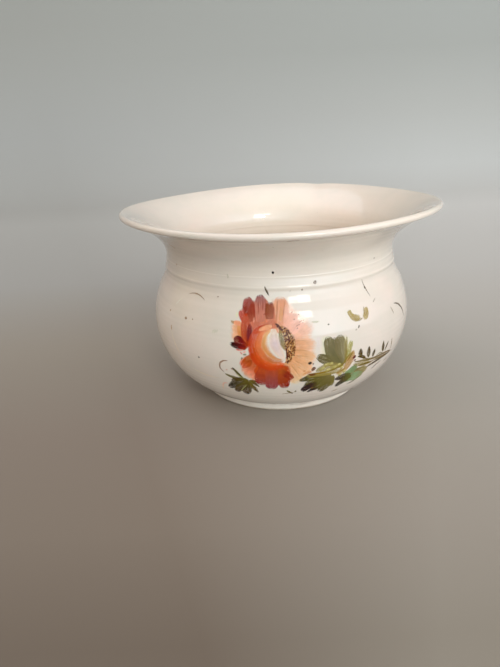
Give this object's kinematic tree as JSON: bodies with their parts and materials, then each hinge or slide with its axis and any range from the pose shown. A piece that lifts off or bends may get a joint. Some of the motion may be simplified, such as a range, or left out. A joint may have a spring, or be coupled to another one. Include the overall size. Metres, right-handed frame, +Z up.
{
  "type": "flared porcelain brush pot",
  "caption": "Glazed porcelain pot with round belly, short collar and wide flared mouth on a low foot ring, painted with a large flower and leaf sprays.",
  "frame": {"origin": "centre of the resting face under the foot ring", "axes": "+Z up through the mouth, -Y towards the painted flower side"},
  "size_m": [0.22, 0.22, 0.134],
  "materials": {
    "bare_clay": "unglazed porcelain clay, fired, slightly stained",
    "fired_slip": "fired joining slip",
    "cream_glaze": "glossy cream-white glaze with small iron specks",
    "brown_enamel": "glossy overglaze enamel",
    "lilac_enamel": "glossy overglaze enamel",
    "orange_enamel": "glossy overglaze enamel, shaded",
    "red_enamel": "glossy overglaze enamel, shaded",
    "plum_enamel": "glossy overglaze enamel, streaked",
    "maroon_enamel": "glossy overglaze enamel",
    "coral_enamel": "glossy overglaze enamel, shaded",
    "amber_enamel": "glossy overglaze enamel, shaded",
    "pale_pink_enamel": "thin glossy overglaze enamel wash",
    "peach_enamel": "thin glossy overglaze enamel wash, streaked",
    "dark_green_enamel": "glossy overglaze enamel",
    "olive_enamel": "glossy overglaze enamel, shaded",
    "teal_enamel": "glossy overglaze enamel, shaded",
    "ochre_enamel": "glossy overglaze enamel",
    "yellow_green_enamel": "thin glossy overglaze enamel wash"
  },
  "bodies": {
    "root": {"foot_ring": "bare_clay", "foot_slip_seam": "fired_slip", "belly_bowl": "bare_clay", "shoulder_slip_seam": "fired_slip", "mouth_section": "bare_clay", "outside_glaze": "cream_glaze", "inside_glaze": "cream_glaze", "base_glaze": "cream_glaze", "stamen_dots": "brown_enamel", "berries": "brown_enamel", "flower_eye": "lilac_enamel", "flower_cup": "orange_enamel", "red_petals": "red_enamel", "plum_petals": "plum_enamel", "maroon_petals": "maroon_enamel", "coral_petals": "coral_enamel", "amber_petals": "amber_enamel", "pale_petals": "pale_pink_enamel", "peach_petals": "peach_enamel", "dark_leaves": "dark_green_enamel", "olive_leaves": "olive_enamel", "teal_leaf": "teal_enamel", "sprig_leaves": "dark_green_enamel", "stems": "ochre_enamel", "tendrils": "brown_enamel", "insect_strokes": "yellow_green_enamel", "loose_strokes": "dark_green_enamel"}
  },
  "joints": []
}
